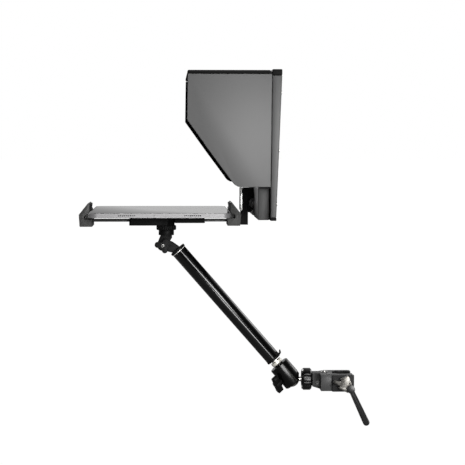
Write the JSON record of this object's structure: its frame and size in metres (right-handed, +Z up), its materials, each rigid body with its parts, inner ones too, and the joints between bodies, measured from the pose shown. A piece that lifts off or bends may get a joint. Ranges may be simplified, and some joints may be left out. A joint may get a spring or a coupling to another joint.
{
  "type": "teleprompter",
  "caption": "Tablet teleprompter: folding hood with beam splitter on a tilting tablet holder, carried by a tube arm, ball head and lever pole clamp.",
  "frame": {"origin": "on the axis of the gripped pole, at the middle of the clamp's height", "axes": "+Z up along the pole, +X from the hood towards the camera, +Y across the hood's width"},
  "size_m": [0.3708, 0.28, 0.4498],
  "materials": {
    "clamp_grey": "satin black-grey hard coat on cast aluminium",
    "clamp_black": "satin black hard coat",
    "rubber": "matt moulded rubber",
    "steel": "nickel plated, turned",
    "cast_silver": "tumbled die casting",
    "gloss_black": "polished black anodising",
    "arm_black": "gloss black anodised tube",
    "knob_black": "moulded nylon, fine grain",
    "disc_white": "bright turned face, warm tint",
    "holder_black": "satin moulded plastic",
    "jaw_grey": "satin moulded plastic",
    "bar_steel": "black painted flat steel",
    "plate_alu": "bright brushed plate",
    "tablet_alu": "fine bead blasted anodising",
    "tablet_glass": "polished cover glass over a dark display",
    "frame_grey": "satin moulded plastic",
    "frame_black": "satin moulded plastic",
    "hood_black": "smooth calendered plastic sheet",
    "pane": "half silvered"
  },
  "bodies": {
    "pole_clamp": {"clamp_body": "clamp_grey", "clamp_rear_pad": "rubber", "clamp_nut_block": "clamp_black", "socket_lock_screw": "steel"},
    "moving_jaw": {"clamp_jaw_shoe": "clamp_grey", "clamp_jaw_pad": "rubber"},
    "clamp_screw": {"clamp_spindle": "steel", "clamp_screw_hub": "cast_silver"},
    "lever": {"clamp_lever": "clamp_black"},
    "lock_wheel": {"lock_wheel": "gloss_black"},
    "ball": {"ball_stud": "steel"},
    "ball_head": {"ball_housing": "gloss_black", "ball_cup": "steel", "ball_base_disc": "disc_white"},
    "head_knob": {"ball_knob": "knob_black"},
    "arm": {"arm_tube": "arm_black", "arm_top_ring": "steel", "arm_top_cap": "knob_black", "arm_bottom_cap": "knob_black", "arm_stud": "steel", "arm_lug": "knob_black"},
    "tilt_head": {"head_fork": "knob_black", "head_stud": "steel", "pivot_nut": "steel"},
    "wing_knob": {"wing_knob": "knob_black"},
    "lock_disc": {"lock_disc": "knob_black"},
    "holder": {"holder_sleeve": "holder_black", "holder_bridge": "holder_black", "fixed_bar": "bar_steel", "right_jaw": "jaw_grey", "right_jaw_pad": "rubber", "return_spring": "steel", "bracket_post": "holder_black"},
    "left_jaw": {"left_slide_bar": "bar_steel", "left_jaw": "jaw_grey", "left_jaw_pad": "rubber"},
    "tablet": {"tablet_shell": "tablet_alu", "tablet_glass": "tablet_glass"},
    "power_key": {"tablet_power_key": "tablet_alu"},
    "volume_up_key": {"tablet_volume_up_key": "tablet_alu"},
    "volume_down_key": {"tablet_volume_down_key": "tablet_alu"},
    "tilt_knob": {"tilt_knob": "knob_black"},
    "frame": {"tilt_block": "holder_black", "tilt_plate": "plate_alu", "cross_beam": "jaw_grey", "near_stile": "frame_grey", "far_stile": "frame_grey", "top_rail": "frame_black", "bottom_rail": "frame_black", "rear_plate": "frame_black", "lens_ring": "frame_black", "frame_screws": "steel", "glass_hinge_ears": "frame_black"},
    "glass_flap": {"glass_frame": "frame_black", "beam_splitter": "pane", "glass_hinge_pins": "steel"},
    "hood_top": {"hood_top_panel": "frame_black"},
    "hood_near": {"hood_near_panel": "hood_black"},
    "hood_far": {"hood_far_panel": "hood_black"}
  },
  "joints": [
    {"name": "jaw_slide", "type": "slide", "parent": "pole_clamp", "child": "moving_jaw", "axis": [0, -1, 0], "range_m": [-0.0015, 0.006]},
    {"name": "screw_turn", "type": "hinge", "parent": "moving_jaw", "child": "clamp_screw", "pos_m": [0, -0.03, 0], "axis": [0, 1, 0], "range_deg": [-180, 720]},
    {"name": "lever_fold", "type": "hinge", "parent": "clamp_screw", "child": "lever", "pos_m": [0.0067, -0.049, -0.005], "axis": [0, 1, 0], "range_deg": [-60, 120]},
    {"name": "wheel_turn", "type": "hinge", "parent": "pole_clamp", "child": "lock_wheel", "pos_m": [-0.046, 0, 0.0017], "axis": [1, 0, 0], "continuous": true},
    {"name": "stud_swivel", "type": "hinge", "parent": "pole_clamp", "child": "ball", "pos_m": [-0.046, 0, 0.0017], "axis": [1, 0, 0], "continuous": true},
    {"name": "ball_tilt", "type": "hinge", "parent": "ball", "child": "ball_head", "pos_m": [-0.066, 0, 0.0017], "axis": [0, 1, 0], "range_deg": [-80, 31]},
    {"name": "ball_lock_turn", "type": "hinge", "parent": "ball_head", "child": "head_knob", "pos_m": [-0.07113, 0, 0.00757], "axis": [-0.6824, -0.4226, -0.5964], "range_deg": [-270, 0]},
    {"name": "arm_turn", "type": "hinge", "parent": "ball_head", "child": "arm", "pos_m": [-0.08574, 0, 0.02429], "axis": [-0.658, 0, 0.753], "continuous": true},
    {"name": "head_tilt", "type": "hinge", "parent": "arm", "child": "tilt_head", "pos_m": [-0.2331, 0, 0.177], "axis": [0, 1, 0], "range_deg": [-90, 18]},
    {"name": "wing_knob_turn", "type": "hinge", "parent": "tilt_head", "child": "wing_knob", "pos_m": [-0.2331, -0.015, 0.177], "axis": [0, 1, 0], "range_deg": [-270, 0]},
    {"name": "lock_disc_turn", "type": "hinge", "parent": "tilt_head", "child": "lock_disc", "pos_m": [-0.2285, 0, 0.1995], "axis": [0, 0, 1], "continuous": true},
    {"name": "holder_pan", "type": "hinge", "parent": "tilt_head", "child": "holder", "pos_m": [-0.2285, 0, 0.205], "axis": [0, 0, 1], "continuous": true},
    {"name": "jaw_extend", "type": "slide", "parent": "holder", "child": "left_jaw", "axis": [-1, 0, 0], "range_m": [0, 0.045], "stiffness_N_per_m": 250, "springref_m": -0.03},
    {"name": "tablet_slide", "type": "slide", "parent": "holder", "child": "tablet", "axis": [0, -1, 0], "range_m": [0, 0.25]},
    {"name": "power_press", "type": "slide", "parent": "tablet", "child": "power_key", "axis": [0, -1, 0], "range_m": [0, 0.0003], "stiffness_N_per_m": 3000},
    {"name": "volume_up_press", "type": "slide", "parent": "tablet", "child": "volume_up_key", "axis": [-1, 0, 0], "range_m": [0, 0.0003], "stiffness_N_per_m": 3000},
    {"name": "volume_down_press", "type": "slide", "parent": "tablet", "child": "volume_down_key", "axis": [-1, 0, 0], "range_m": [0, 0.0003], "stiffness_N_per_m": 3000},
    {"name": "frame_tilt", "type": "hinge", "parent": "holder", "child": "frame", "pos_m": [-0.1163, 0, 0.2318], "axis": [0, 1, 0], "range_deg": [-25, 10]},
    {"name": "tilt_knob_turn", "type": "hinge", "parent": "holder", "child": "tilt_knob", "pos_m": [-0.1163, -0.014, 0.2318], "axis": [0, 1, 0], "range_deg": [-270, 0]},
    {"name": "glass_fold", "type": "hinge", "parent": "frame", "child": "glass_flap", "pos_m": [-0.107, 0, 0.261], "axis": [0, 1, 0], "range_deg": [0, 45]},
    {"name": "hood_top_lift", "type": "hinge", "parent": "frame", "child": "hood_top", "pos_m": [-0.1016, 0, 0.397], "axis": [0, 1, 0], "range_deg": [0, 100]},
    {"name": "hood_near_swing", "type": "hinge", "parent": "frame", "child": "hood_near", "pos_m": [-0.1016, -0.1401, 0.324], "axis": [0, 0, 1], "range_deg": [0, 100]},
    {"name": "hood_far_swing", "type": "hinge", "parent": "frame", "child": "hood_far", "pos_m": [-0.1016, 0.1401, 0.324], "axis": [0, 0, 1], "range_deg": [-100, 0]}
  ],
  "couplings": [
    {"joint": "screw_turn", "follows": "jaw_slide", "rad_per_m": 2094.4}
  ]
}
